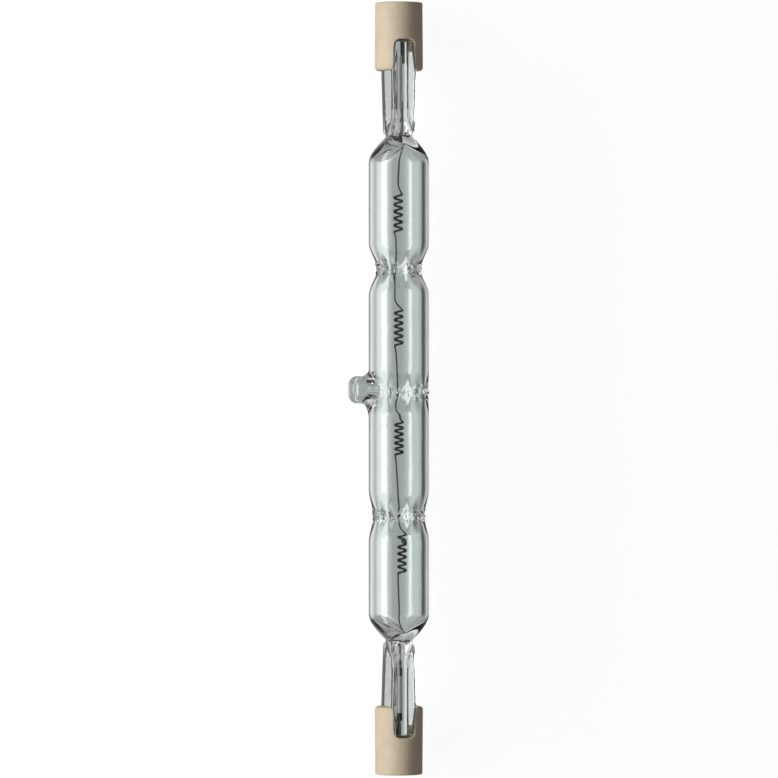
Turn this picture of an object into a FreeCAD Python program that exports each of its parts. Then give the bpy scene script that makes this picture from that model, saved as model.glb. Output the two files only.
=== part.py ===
import FreeCAD, Part
import math
import os

from FreeCAD import Vector

# Double-ended linear halogen lamp: a pinched quartz tube, one coiled filament,
# foil seals and a slotted ceramic cap on each end. All sizes are in millimetres.
#
# The lamp is built upright about its own axis: x to the right of the front view,
# y away from the viewer and z up, with z = 0 at mid length. It is then laid down
# on the floor, where it rests on its tube and on its exhaust tip.

# Whole lamp
LAMP_LENGTH = 117.6
CONTACT_DEPTH = 1.7          # contact face below the rim of its cap
FIT_GAP = 0.03               # clearance round the pieces that sit in one another

# Quartz tube
TUBE_DIAMETER = 9.17
TUBE_WALL = 1.0

# Pinched waists, named from the upper one to the lower one
WAIST_PITCH = 18.8
WAIST_MIDDLE = -0.6          # height of the middle waist
WAIST_LENGTH = 8.0
WAIST_WIDTHS = (6.8, 9.0, 7.9)
WAIST_LOBE = 5.2             # thickness of the two side lobes of a waist
JAW_LENGTH = 2.0             # flat left by the pinching jaws, along the lamp
LOBE_WALL = 1.25             # wall of the side lobes, thickened by the pinch

# Pinch seals
SEAL_TURN = 16.0             # web of the seal, turned from the line of sight
SHOULDER_LENGTH = 4.0
SEAL_LENGTH = 14.35          # from the neck to the flat end inside the cap
SEAL_WIDTH = 7.0
SEAL_TIP_WIDTH = 6.5
SEAL_WEB = 1.5               # thickness at the foil
NECK_THICKNESS = 3.1
RAIL_THICKNESS = 3.7         # at the mouth of the cap
RAIL_TIP_THICKNESS = 2.9
ROUND = 2.0                  # squareness of a circle
RAIL_CORNER = 0.4            # bevel of the outer corners of a rail
GROOVE_WIDTH = 2.6           # flat of the web between the rails
GROOVE_SLOPE = 0.6           # width of the slope from the web up to a rail
NECK_LAP = 0.4               # length of the rails inside the shoulder
NECK_SQUARENESS = 3.2
RAIL_START = 0.25            # inner edge of a rail or lobe, as a share of the half width
RAIL_RISE = 0.5              # share of the half width over which it thickens
CAVITY_END = 1.3             # inner end of the cavity, below the neck
CAVITY_END_WIDTH = 5.4
CAVITY_END_GAP = 0.9

# Exhaust tip
TIP_DIAMETER = 4.1
TIP_REACH = 7.79             # from the lamp axis
TIP_ROUND = 1.3
TIP_HEIGHT = -0.2
TIP_NECK = 5.5               # where its straight part begins, from the lamp axis
TIP_ROOT = 4.0               # where its flared root ends, inside the tube wall
TIP_ROOT_WIDTH = 3.2
TIP_FLARE_UP = 1.1
TIP_FLARE_DOWN = 2.3
TIP_BORE = 2.4
TIP_BORE_REACH = 6.7
TIP_BORE_BEVEL = 0.6

# Filament, with the coils named from the upper one to the lower one
LEG_DIAMETER = 0.2
COIL_WIRE = 0.33
COIL_DIAMETER = 1.56
COIL_TURNS = 5.5
COIL_CORNERS = 12            # straight runs in one turn
COIL_TOPS = (29.8, 12.15, -4.9, -22.45)
COIL_LENGTHS = (6.2, 5.85, 5.45, 5.95)
COIL_OFFSETS = (-0.1, -0.03, 0.02, 0.48)
COIL_LEAD_IN = 1.0           # length of the slanting wire at each end of a coil
LEG_OFFSETS = (-0.15, -0.5, -0.44, 0.02, 0.05)
GRIP_GAP = 0.05              # between the filament leg and the glass that holds it

# Leads and foils of the seals
INNER_LEAD_DIAMETER = 0.42
INNER_LEAD_STUB = 0.8        # bare end of the lead, inside the tube
INNER_LEAD_FLAT = 0.08       # depth of the flat that lies on the foil
OUTER_LEAD_DIAMETER = 0.7
OUTER_LEAD_FLAT = 0.1
FOIL_WIDTH = 2.3
FOIL_THICKNESS = 0.03
FOIL_START = 4.2             # inner end of the foil, above the neck
FOIL_MARGIN = 2.15           # glass beyond the outer end of the foil
FOIL_OVERLAP = 1.2           # length of each lead that lies on the foil

# Ceramic caps
CAP_LENGTH = 10.4
CAP_END_DIAMETER = 7.2
CAP_MOUTH_DIAMETER = 7.36
CAP_MOUTH_BEVEL = 0.45
CAP_RIM_BEVEL = 0.15
SLOT_DEPTH = 4.75
SLOT_FLOOR_GAP = 0.45        # between the flat end of the seal and the floor of the slot
SLOT_FLOOR_WIDTH = 3.2
SLOT_FLOOR_ROUND = 0.7
RECESS_DIAMETER = 4.6
RECESS_BEVEL = 0.3
LEAD_BORE = 1.5
CEMENT_WIDTH = 3.2
CEMENT_SET_BACK = 1.0        # cement below the mouth of the cap

# Contacts
CONTACT_DIAMETER = 4.0
CONTACT_THICKNESS = 0.5
CONTACT_BEVEL = 0.12
SHANK_DIAMETER = 2.0
SHANK_LENGTH = 1.5
SHANK_BORE_DEPTH = 1.1

# Points round a section of the glass, and sections along a shaped length
RING_POINTS = 24
WAIST_SECTIONS = 6
SHOULDER_SECTIONS = 4
WIRE_SIDES = 5               # sides of the wire in the coils
LEG_SIDES = 6
JOIN_TOLERANCE = 0.002       # between the shaped and the straight lengths of glass

# Sizes that follow from those above
TUBE_RADIUS = TUBE_DIAMETER / 2
CAVITY_RADIUS = TUBE_RADIUS - TUBE_WALL
CAP_MOUTH = LAMP_LENGTH / 2 - CAP_LENGTH
SLOT_FLOOR = CAP_MOUTH + SLOT_DEPTH
SLOT_MOUTH_WIDTH = RAIL_THICKNESS + 2 * FIT_GAP
SEAL_END = SLOT_FLOOR - SLOT_FLOOR_GAP
NECK = SEAL_END - SEAL_LENGTH
SHOULDER = NECK - SHOULDER_LENGTH
CAVITY_TOP = NECK - CAVITY_END
FOIL_BOTTOM = NECK + FOIL_START
FOIL_TOP = SEAL_END - FOIL_MARGIN
CONTACT_FACE = LAMP_LENGTH / 2 - CONTACT_DEPTH
CONTACT_SEAT = CONTACT_FACE - CONTACT_THICKNESS
SHANK_END = CONTACT_SEAT - SHANK_LENGTH
OUTER_LEAD_TOP = SHANK_END + SHANK_BORE_DEPTH
INNER_LEAD_OFFSET = FOIL_THICKNESS / 2 + INNER_LEAD_DIAMETER / 2 - INNER_LEAD_FLAT
OUTER_LEAD_OFFSET = FOIL_THICKNESS / 2 + OUTER_LEAD_DIAMETER / 2 - OUTER_LEAD_FLAT
INNER_LEAD_TIP = CAVITY_TOP - INNER_LEAD_STUB
WAIST_HEIGHTS = [WAIST_MIDDLE + WAIST_PITCH * step for step in (1, 0, -1)]
WAIST_WEB = LEG_DIAMETER + 2 * GRIP_GAP + 2 * TUBE_WALL

UP = Vector(0, 0, 1)
LEFT = Vector(-1, 0, 0)


def ease(share):
    """Smooth step from 0 to 1, with level ends."""
    share = min(max(share, 0.0), 1.0)
    return share * share * (3 - 2 * share)


def blend(first, last, share):
    return first + (last - first) * share


def ring(height, width, web, side, squareness=ROUND, turn=0.0):
    """Closed section of the glass: a width, a thickness at the middle and one at the sides.

    It is a circle when all three are equal and the squareness is 2.
    """
    points = []
    for index in range(RING_POINTS):
        angle = 2 * math.pi * index / RING_POINTS
        across = math.copysign(abs(math.cos(angle)) ** (2 / squareness), math.cos(angle))
        rise = math.copysign(abs(math.sin(angle)) ** (2 / squareness), math.sin(angle))
        thickness = blend(web, side, ease((abs(across) - RAIL_START) / RAIL_RISE))
        u = width / 2 * across
        v = thickness / 2 * rise
        points.append(Vector(u, v, height))
    section = Part.makePolygon(points + points[:1])
    section.rotate(Vector(0, 0, 0), UP, turn)
    return section


def straight(low, high, diameter):
    return Part.makeCylinder(diameter / 2, high - low, Vector(0, 0, low), UP)


def shaped(sections):
    """Solid through a row of sections, straight from each to the next."""
    return Part.makeLoft(sections, True, True)


def waist(middle, diameter, width, web, side):
    """Length of the tube that narrows to a waist and widens again."""
    sections = []
    for index in range(WAIST_SECTIONS):
        offset = WAIST_LENGTH * (index / (WAIST_SECTIONS - 1) - 0.5)
        pinch = ease((WAIST_LENGTH / 2 - abs(offset)) / (WAIST_LENGTH - JAW_LENGTH) * 2)
        sections.append(ring(
            middle + offset,
            blend(diameter, width, pinch),
            blend(diameter, web, pinch),
            blend(diameter, side, pinch),
        ))
    return shaped(sections)


def tube_body(diameter, widths, web, side):
    """The round cells with the waists between them, from shoulder to shoulder."""
    pieces = []
    top = SHOULDER
    for middle, width in zip(WAIST_HEIGHTS, widths):
        bottom = middle + WAIST_LENGTH / 2
        pieces.append(straight(bottom, top, diameter))
        pieces.append(waist(middle, diameter, width, web, side))
        top = middle - WAIST_LENGTH / 2
    pieces.append(straight(-SHOULDER, top, diameter))
    return pieces


def shoulder():
    """Upper end of the tube, pressed flat towards the neck of the seal."""
    sections = []
    for index in range(SHOULDER_SECTIONS):
        share = index / (SHOULDER_SECTIONS - 1)
        pinch = ease(share)
        sections.append(ring(
            SHOULDER + SHOULDER_LENGTH * share,
            blend(TUBE_DIAMETER, SEAL_WIDTH, pinch),
            blend(TUBE_DIAMETER, SEAL_WEB, pinch),
            blend(TUBE_DIAMETER, NECK_THICKNESS, pinch),
            blend(ROUND, NECK_SQUARENESS, pinch),
            SEAL_TURN - 90,
        ))
    return shaped(sections)


def rail_section(height, width, side, grow):
    """I-shaped section of a seal: a thin web between two thick rails."""
    half = (width + grow) / 2
    rise = (side + grow) / 2
    web = (SEAL_WEB + grow) / 2
    groove = (GROOVE_WIDTH - grow) / 2
    quarter = [
        (half, rise - RAIL_CORNER),
        (half - RAIL_CORNER, rise),
        (groove + GROOVE_SLOPE, rise),
        (groove, web),
    ]
    upper_half = quarter + [(-u, v) for u, v in reversed(quarter)]
    outline = upper_half + [(-u, -v) for u, v in upper_half]
    corners = [Vector(u, v, height) for u, v in outline]
    section = Part.makePolygon(corners + corners[:1])
    section.rotate(Vector(0, 0, 0), UP, SEAL_TURN - 90)
    return section


def seal(grow=0.0):
    """Upper pinch seal: it thickens from the neck to the cap and tapers inside the slot."""
    return shaped([
        rail_section(NECK - NECK_LAP, SEAL_WIDTH, NECK_THICKNESS, grow),
        rail_section(CAP_MOUTH, SEAL_WIDTH, RAIL_THICKNESS, grow),
        rail_section(SEAL_END + grow / 2, SEAL_TIP_WIDTH, RAIL_TIP_THICKNESS, grow),
    ])


def cavity_end():
    """Upper end of the cavity, which closes to a flat slit under the seal."""
    diameter = 2 * CAVITY_RADIUS
    sections = []
    for index in range(SHOULDER_SECTIONS):
        share = index / (SHOULDER_SECTIONS - 1)
        pinch = ease(share)
        sections.append(ring(
            blend(SHOULDER, CAVITY_TOP, share),
            blend(diameter, CAVITY_END_WIDTH, pinch),
            blend(diameter, CAVITY_END_GAP, pinch),
            blend(diameter, CAVITY_END_GAP, pinch),
            turn=SEAL_TURN - 90,
        ))
    return shaped(sections)


def seal_direction():
    """Direction across the web of the seals, towards the viewer."""
    turn = math.radians(SEAL_TURN)
    return Vector(math.sin(turn), -math.cos(turn), 0)


def foil_normal():
    turn = math.radians(SEAL_TURN)
    return Vector(math.cos(turn), math.sin(turn), 0)


def turned_over(shape):
    """The same piece at the lower end of the lamp."""
    copy = shape.copy()
    copy.rotate(Vector(0, 0, 0), seal_direction(), 180)
    return copy


def plate(width, thickness, low, high):
    """Flat plate in the plane of the web, centred on the lamp axis."""
    shape = Part.makeBox(width, thickness, high - low, Vector(-width / 2, -thickness / 2, low))
    shape.rotate(Vector(0, 0, 0), UP, SEAL_TURN - 90)
    return shape


def rod(diameter, low, high, offset=0.0):
    """Upright round rod, set off from the lamp axis along the normal of the foil."""
    centre = foil_normal() * offset
    return Part.makeCylinder(diameter / 2, high - low, Vector(centre.x, centre.y, low), UP)


def flattened(shape, low, high):
    """Take away the part of a lead that would lie beyond the face of the foil."""
    depth = OUTER_LEAD_DIAMETER
    cutter = plate(depth, depth, low, high)
    cutter.translate(foil_normal() * (FOIL_THICKNESS / 2 - depth / 2))
    return shape.cut(cutter)


def inner_lead(grow=0.0):
    top = FOIL_BOTTOM + FOIL_OVERLAP + grow
    wire = rod(INNER_LEAD_DIAMETER + 2 * grow, INNER_LEAD_TIP, top, INNER_LEAD_OFFSET)
    return flattened(wire, FOIL_BOTTOM - FIT_GAP, top)


def outer_lead(grow=0.0):
    bottom = FOIL_TOP - FOIL_OVERLAP - grow
    wire = rod(OUTER_LEAD_DIAMETER + 2 * grow, bottom, OUTER_LEAD_TOP, OUTER_LEAD_OFFSET)
    return flattened(wire, bottom, FOIL_TOP + FIT_GAP)


def foil(grow=0.0):
    return plate(FOIL_WIDTH + grow, FOIL_THICKNESS + grow, FOIL_BOTTOM - grow, FOIL_TOP + grow)


def tip_ring(reach, width, top, bottom):
    """Oval section of the exhaust tip, at a distance from the lamp axis."""
    points = []
    for index in range(RING_POINTS):
        angle = 2 * math.pi * index / RING_POINTS
        middle = (top + bottom) / 2
        half = (top - bottom) / 2
        points.append(Vector(-reach, width / 2 * math.sin(angle), middle + half * math.cos(angle)))
    return Part.makePolygon(points + points[:1])


def exhaust_tip():
    """Melted-off exhaust tube: a flared root, a short neck and a rounded end."""
    radius = TIP_DIAMETER / 2
    sections = []
    for share in (1.0, 0.75, 0.5, 0.25, 0.0):
        flare = 1 - math.sqrt(1 - share * share)
        sections.append(tip_ring(
            blend(TIP_NECK, TIP_ROOT, share),
            blend(TIP_DIAMETER, TIP_ROOT_WIDTH, flare),
            TIP_HEIGHT + radius + TIP_FLARE_UP * flare,
            TIP_HEIGHT - radius - TIP_FLARE_DOWN * flare,
        ))
    root = shaped(sections)
    neck_start = Vector(-TIP_NECK, 0, TIP_HEIGHT)
    neck = Part.makeCylinder(radius, TIP_REACH - TIP_NECK, neck_start, LEFT)
    end_edges = [edge for edge in neck.Edges if edge.BoundBox.XMax < -TIP_REACH + FIT_GAP]
    return root.fuse(neck.makeFillet(TIP_ROUND, end_edges))


def tip_bore():
    """Bore of the exhaust tip, open to the cavity of the tube."""
    start = Vector(-CAVITY_RADIUS + TUBE_WALL, 0, TIP_HEIGHT)
    length = TIP_BORE_REACH - CAVITY_RADIUS + TUBE_WALL
    bore = Part.makeCylinder(TIP_BORE / 2, length, start, LEFT)
    end_edges = [edge for edge in bore.Edges if edge.BoundBox.XMax < -TIP_BORE_REACH + FIT_GAP]
    return bore.makeChamfer(TIP_BORE_BEVEL, end_edges)


def quartz_envelope():
    upper_skin = [shoulder(), seal()]
    skin_pieces = tube_body(TUBE_DIAMETER, WAIST_WIDTHS, WAIST_WEB, WAIST_LOBE)
    skin_pieces += upper_skin + [turned_over(piece) for piece in upper_skin] + [exhaust_tip()]
    skin = skin_pieces[0].fuse(skin_pieces[1:], JOIN_TOLERANCE)
    upper_end = cavity_end()
    cavity_pieces = tube_body(
        2 * CAVITY_RADIUS,
        [width - 2 * TUBE_WALL for width in WAIST_WIDTHS],
        WAIST_WEB - 2 * TUBE_WALL,
        WAIST_LOBE - 2 * LOBE_WALL,
    )
    upper_voids = [inner_lead(FIT_GAP), foil(FIT_GAP), outer_lead(FIT_GAP)]
    cavity_pieces += [upper_end, turned_over(upper_end), tip_bore()]
    cavity_pieces += upper_voids + [turned_over(void) for void in upper_voids]
    cavity = cavity_pieces[0].fuse(cavity_pieces[1:], JOIN_TOLERANCE)
    return skin.cut(cavity)


def wire(points, sides, diameter):
    """Straight runs of wire through a row of points, with mitred bends."""
    along = points[1].sub(points[0])
    level = along.cross(UP)
    level.normalize()
    upright = level.cross(along)
    upright.normalize()
    corners = []
    for index in range(sides + 1):
        angle = 2 * math.pi * index / sides
        across = level * math.cos(angle) + upright * math.sin(angle)
        corners.append(points[0] + across * (diameter / 2))
    sweep = Part.BRepOffsetAPI.MakePipeShell(Part.makePolygon(points))
    sweep.add(Part.makePolygon(corners))
    sweep.setTransitionMode(1)
    sweep.build()
    sweep.makeSolid()
    return sweep.shape()


def coil(top, length, offset):
    """One coil: it starts at the right of its axis at the top and ends at the left."""
    radius = (COIL_DIAMETER - COIL_WIRE) / 2
    first_turn = top - COIL_WIRE / 2
    last_turn = top - length + COIL_WIRE / 2
    count = round(COIL_TURNS * COIL_CORNERS)
    points = []
    for index in range(count + 1):
        share = index / count
        angle = 2 * math.pi * COIL_TURNS * share
        height = blend(first_turn, last_turn, share)
        points.append(Vector(offset + radius * math.cos(angle), -radius * math.sin(angle), height))
    return wire(points, WIRE_SIDES, COIL_WIRE)


def filament():
    """One wire: a leg down the axis, a coil, and so on from the upper lead to the lower one."""
    reach = (COIL_DIAMETER - COIL_WIRE) / 2
    lead = foil_normal() * INNER_LEAD_OFFSET
    points = [Vector(lead.x, lead.y, INNER_LEAD_TIP)]
    pieces = []
    for index, (top, length, offset) in enumerate(zip(COIL_TOPS, COIL_LENGTHS, COIL_OFFSETS)):
        first_turn = top - COIL_WIRE / 2
        last_turn = top - length + COIL_WIRE / 2
        points.append(Vector(LEG_OFFSETS[index], 0, first_turn + COIL_LEAD_IN))
        points.append(Vector(offset + reach, 0, first_turn))
        pieces.append(wire(points, LEG_SIDES, LEG_DIAMETER))
        pieces.append(coil(top, length, offset))
        points = [
            Vector(offset - reach, 0, last_turn),
            Vector(LEG_OFFSETS[index + 1], 0, last_turn - COIL_LEAD_IN),
        ]
    lead = turned_over(Part.Vertex(lead.x, lead.y, INNER_LEAD_TIP)).Point
    pieces.append(wire(points + [lead], LEG_SIDES, LEG_DIAMETER))
    return pieces[0].fuse(pieces[1:])


def slot_space():
    """Tapered slot of a cap, which the rails of the seal slide into."""
    half_mouth = SLOT_MOUTH_WIDTH / 2
    half_floor = SLOT_FLOOR_WIDTH / 2
    length = 2 * CAP_MOUTH_DIAMETER
    corners = [
        Vector(-length / 2, -half_mouth, CAP_MOUTH),
        Vector(-length / 2, half_mouth, CAP_MOUTH),
        Vector(-length / 2, half_floor, SLOT_FLOOR),
        Vector(-length / 2, -half_floor, SLOT_FLOOR),
    ]
    outline = Part.makePolygon(corners + corners[:1])
    space = Part.Face(outline).extrude(Vector(length, 0, 0))
    floor_edges = []
    for edge in space.Edges:
        along = edge.BoundBox.XLength > length / 2
        if along and edge.BoundBox.ZMin > SLOT_FLOOR - FIT_GAP:
            floor_edges.append(edge)
    space = space.makeFillet(SLOT_FLOOR_ROUND, floor_edges)
    space.rotate(Vector(0, 0, 0), UP, SEAL_TURN - 90)
    return space


def ceramic_cap():
    """Pressed cap, slightly tapered, with a slot for the seal and a recess for the contact."""
    rim = LAMP_LENGTH / 2
    mouth_radius = CAP_MOUTH_DIAMETER / 2
    end_radius = CAP_END_DIAMETER / 2
    profile = [
        Vector(0, 0, CAP_MOUTH),
        Vector(mouth_radius - CAP_MOUTH_BEVEL, 0, CAP_MOUTH),
        Vector(mouth_radius, 0, CAP_MOUTH + CAP_MOUTH_BEVEL),
        Vector(end_radius, 0, rim - CAP_RIM_BEVEL),
        Vector(end_radius - CAP_RIM_BEVEL, 0, rim),
        Vector(0, 0, rim),
    ]
    body = Part.Face(Part.makePolygon(profile + profile[:1])).revolve(Vector(0, 0, 0), UP, 360)
    recess_radius = RECESS_DIAMETER / 2
    bevel_start = Vector(0, 0, rim - RECESS_BEVEL)
    bevel_end_radius = recess_radius + RECESS_BEVEL
    recess_bevel = Part.makeCone(recess_radius, bevel_end_radius, RECESS_BEVEL, bevel_start, UP)
    return body.cut([
        slot_space(),
        rod(RECESS_DIAMETER, CONTACT_FACE, rim),
        recess_bevel,
        rod(CONTACT_DIAMETER + 2 * FIT_GAP, CONTACT_SEAT, CONTACT_FACE),
        rod(SHANK_DIAMETER + 2 * FIT_GAP, SHANK_END - FIT_GAP, CONTACT_SEAT),
        rod(LEAD_BORE, SLOT_FLOOR, SHANK_END),
    ])


def cap_cement():
    """Cement in the slot: a pad on each face of the web, joined over the end of the seal."""
    space = plate(CEMENT_WIDTH, SLOT_MOUTH_WIDTH, CAP_MOUTH + CEMENT_SET_BACK, SLOT_FLOOR)
    return space.common(slot_space()).cut([seal(2 * FIT_GAP), outer_lead(FIT_GAP)])


def contact():
    """Nickel contact: a disc in the recess, with a shank that is pressed onto the lead."""
    disc = rod(CONTACT_DIAMETER, CONTACT_SEAT, CONTACT_FACE)
    edges = [edge for edge in disc.Edges if edge.BoundBox.ZMin > CONTACT_FACE - FIT_GAP]
    disc = disc.makeChamfer(CONTACT_BEVEL, edges)
    shank = rod(SHANK_DIAMETER, SHANK_END, CONTACT_SEAT)
    bore = rod(OUTER_LEAD_DIAMETER + 2 * FIT_GAP, SHANK_END, OUTER_LEAD_TOP, OUTER_LEAD_OFFSET)
    return disc.fuse(shank).cut(bore)


def resting_roll():
    """Angle of the exhaust tip below level when both it and the tube touch the floor."""
    corner_reach = TIP_REACH - TIP_ROUND
    corner_offset = TIP_DIAMETER / 2 - TIP_ROUND
    arm = math.hypot(corner_reach, corner_offset)
    return math.asin((TUBE_RADIUS - TIP_ROUND) / arm) - math.atan2(corner_offset, corner_reach)


def resting_place():
    """Place of the lamp on the floor, with its axis along Y and its box centred on the origin."""
    roll = resting_roll()
    corner_reach = TIP_REACH - TIP_ROUND
    corner_offset = TIP_DIAMETER / 2 - TIP_ROUND
    left_reach = corner_reach * math.cos(roll) + corner_offset * math.sin(roll) + TIP_ROUND
    axis_x = (left_reach - TUBE_RADIUS) / 2
    return FreeCAD.Matrix(
        math.cos(roll), math.sin(roll), 0, axis_x,
        0, 0, 1, 0,
        math.sin(roll), -math.cos(roll), 0, TUBE_RADIUS,
        0, 0, 0, 1,
    )


def lamp_pieces():
    """Every piece of the lamp by name, upright about its own axis."""
    pieces = {
        "quartz_envelope": quartz_envelope(),
        "filament": filament(),
    }
    end_pieces = {
        "inner_lead": inner_lead(),
        "seal_foil": foil(),
        "outer_lead": outer_lead(),
        "ceramic_cap": ceramic_cap(),
        "cap_cement": cap_cement(),
        "contact": contact(),
    }
    for name, shape in end_pieces.items():
        pieces[name + "_upper"] = shape
        pieces[name + "_lower"] = turned_over(shape)
    return pieces


def main():
    os.makedirs("parts", exist_ok=True)
    place = resting_place()
    for name, shape in lamp_pieces().items():
        laid_down = shape.copy()
        laid_down.transformShape(place)
        laid_down.exportStep("parts/" + name + ".step")
        kind = "valid" if laid_down.isValid() else "NOT VALID"
        print(name, kind, len(laid_down.Solids), "solid", round(laid_down.Volume, 3), "mm3")


main()
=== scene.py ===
import math

import bmesh
import bpy
import numpy as np
from bpy.props import FloatProperty, FloatVectorProperty, IntProperty, PointerProperty
from mathutils import Matrix, Vector, noise


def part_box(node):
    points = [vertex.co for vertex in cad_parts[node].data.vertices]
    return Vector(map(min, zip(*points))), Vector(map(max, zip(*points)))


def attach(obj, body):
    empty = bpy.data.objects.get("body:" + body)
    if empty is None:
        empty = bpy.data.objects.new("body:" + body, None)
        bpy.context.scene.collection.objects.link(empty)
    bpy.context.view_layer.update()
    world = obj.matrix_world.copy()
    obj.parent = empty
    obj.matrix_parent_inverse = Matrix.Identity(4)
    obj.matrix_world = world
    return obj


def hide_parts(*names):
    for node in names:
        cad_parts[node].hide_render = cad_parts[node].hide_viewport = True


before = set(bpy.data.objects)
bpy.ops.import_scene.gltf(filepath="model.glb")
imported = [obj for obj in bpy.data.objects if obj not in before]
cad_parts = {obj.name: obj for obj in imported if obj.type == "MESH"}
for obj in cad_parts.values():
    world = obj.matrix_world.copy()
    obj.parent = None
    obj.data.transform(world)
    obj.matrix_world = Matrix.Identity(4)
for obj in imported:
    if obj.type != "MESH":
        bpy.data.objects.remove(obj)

bl_info = {
    "name": "Linear Halogen Lamp",
    "version": (1, 0, 0),
    "blender": (4, 5, 0),
    "location": "3D View > Sidebar > Lamp",
    "description": "Dresses a double-ended linear halogen lamp in quartz, wire and ceramic",
    "category": "Object",
}

MM = 0.001
FULL_TURN = 2 * math.pi
ENDS = {"upper": 1, "lower": -1}
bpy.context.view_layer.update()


def length(description, millimetres):
    """A size, kept in metres and shown as a length."""
    return FloatProperty(description=description, default=millimetres * MM, unit="LENGTH",
                         precision=6)


def number(description, value):
    return FloatProperty(description=description, default=value, precision=3)


def whole(description, value, least, most):
    return IntProperty(description=description, default=value, min=least, max=most)


def turn(description, degrees):
    return FloatProperty(description=description, default=math.radians(degrees), subtype="ANGLE")


def colour(description, value):
    return FloatVectorProperty(description=description, default=value, subtype="COLOR", min=0, max=1)


class TubeSizes(bpy.types.PropertyGroup):
    """The drawn quartz tube and its exhaust tip."""
    lamp_length: length("Overall length, from rim to rim of the caps", 117.6)
    diameter: length("Outside diameter of the quartz tube", 9.17)
    wall: length("Wall of the quartz tube", 1.0)
    tip_height: length("Height of the exhaust tip above mid length", -0.2)
    tip_diameter: length("Diameter of the exhaust tip", 4.1)
    tip_reach: length("End of the exhaust tip, from the lamp axis", 7.79)
    tip_round: length("Rounding of the melted end of the tip", 1.3)
    tip_dome: length("How much of the tip's radius its domed end takes up", 1.9)
    tip_neck: length("Start of the straight part of the tip, from the axis", 5.7)
    tip_flare_up: length("Reach of the flared root above the tip", 1.0)
    tip_flare_down: length("Reach of the flared root below the tip", 2.3)
    tip_bore: length("Bore left in the exhaust tip", 2.7)
    tip_bore_reach: length("End of that bore, from the lamp axis", 6.65)
    tip_bore_hollow: length("Rounding of the end of that bore", 0.5)
    tip_bore_ahead: length("How much nearer to the axis its straight part starts", 0.9)
    tip_bore_flare: length("Flare of its root", 0.45)


class WaistSizes(bpy.types.PropertyGroup):
    """The three pinched waists that hold the filament."""
    pitch: length("Distance between two waists", 18.8)
    middle: length("Height of the middle waist above mid length", -0.6)
    reach: length("Length of tube that a waist takes up", 8.0)
    jaw: length("Flat left by the pinching jaws, along the lamp", 0.3)
    upper_width: length("Width of the upper waist", 6.8)
    middle_width: length("Width of the middle waist", 9.0)
    lower_width: length("Width of the lower waist", 7.9)
    web: length("Thickness of a waist where it holds the wire", 2.3)
    lobe: length("Thickness of the side lobes of a waist", 5.2)
    lobe_wall: length("Wall of the side lobes", 1.25)
    slit: length("Gap in the glass round the wire", 0.3)
    crumple: length("Unevenness that the jaws leave in the hot glass", 0.3)
    crumple_reach: length("How far the unevenness goes from the waist", 1.6)


class SealSizes(bpy.types.PropertyGroup):
    """The flat pinch seals at both ends of the tube."""
    turned: turn("Web of the seals, turned from the line of sight", 16)
    shoulder: length("Length over which the tube narrows to a seal", 4.0)
    reach: length("Length of a seal from its neck to its flat end", 14.35)
    end: length("Flat end of a seal, above mid length", 52.7)
    mouth: length("Mouth of the ceramic cap, above mid length", 48.4)
    width: length("Width of a seal", 7.0)
    tip_width: length("Width of a seal at its flat end", 6.5)
    web: length("Thickness of the glass at the foil", 1.5)
    neck_rail: length("Thickness of the edge rails at the neck", 3.1)
    rail: length("Thickness of the edge rails at the cap", 3.7)
    tip_rail: length("Thickness of the edge rails at the flat end", 2.9)
    corner: length("Bevel of the outer corners of a rail", 0.16)
    corner_round: length("Rounding of every corner of the section", 0.3)
    crumple: length("Unevenness of the pressed glass above the neck", 0.06)
    crumple_middle: length("Middle of that unevenness above the neck", 2.2)
    crumple_reach: length("How far it goes from there", 2.6)
    pocket: length("Length over which the groove deepens above the neck", 3.4)
    groove: length("Flat of the web between the rails", 2.6)
    slope: length("Width of the slope from the web up to a rail", 0.6)
    merge: length("Length over which the rails grow out of the shoulder", 0.9)
    squareness: number("Squareness of the section at the neck", 3.2)
    rail_start: number("Inner edge of a rail, as a share of the half width", 0.25)
    rail_rise: number("Share of the half width over which it thickens", 0.5)
    cavity_end: length("End of the cavity below the neck", 1.3)
    cavity_width: length("Width of the cavity at its end", 5.4)
    cavity_gap: length("Thickness of the cavity at its end", 0.9)


class FilamentSizes(bpy.types.PropertyGroup):
    """The coiled tungsten wire."""
    coil_diameter: length("Outside diameter of the four coils", 1.56)
    winding: length("Diameter of the fine winding that the coils are wound from", 0.4)
    wire: length("Wire of the fine winding", 0.1)
    winding_pitch: length("Pitch of the fine winding", 0.13)
    leg: length("Diameter of the straight legs", 0.25)
    turns: number("Turns of each coil", 5.5)
    lead_in: length("Slanting wire at each end of a coil", 1.0)
    winding_steps: whole("Points along one turn of the fine winding", 10, 6, 24)
    wire_sides: whole("Sides of the wire of the fine winding", 5, 4, 12)


class LeadSizes(bpy.types.PropertyGroup):
    """Leads and foils inside the seals."""
    inner_diameter: length("Diameter of the inner lead", 0.42)
    inner_stub: length("Bare end of the inner lead in the tube", 0.8)
    outer_diameter: length("Diameter of the outer lead", 0.7)
    outer_end: length("End of the outer lead, above mid length", 56.2)
    sunk: length("Depth of the flat where a lead is welded to its foil", 0.09)
    foil_width: length("Width of the foil", 2.3)
    foil_thickness: length("Thickness of the foil at its middle", 0.03)
    foil_start: length("Inner end of the foil above the neck", 4.2)
    foil_margin: length("Glass beyond the outer end of the foil", 2.15)
    overlap: length("Length of each lead on the foil", 1.2)


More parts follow.
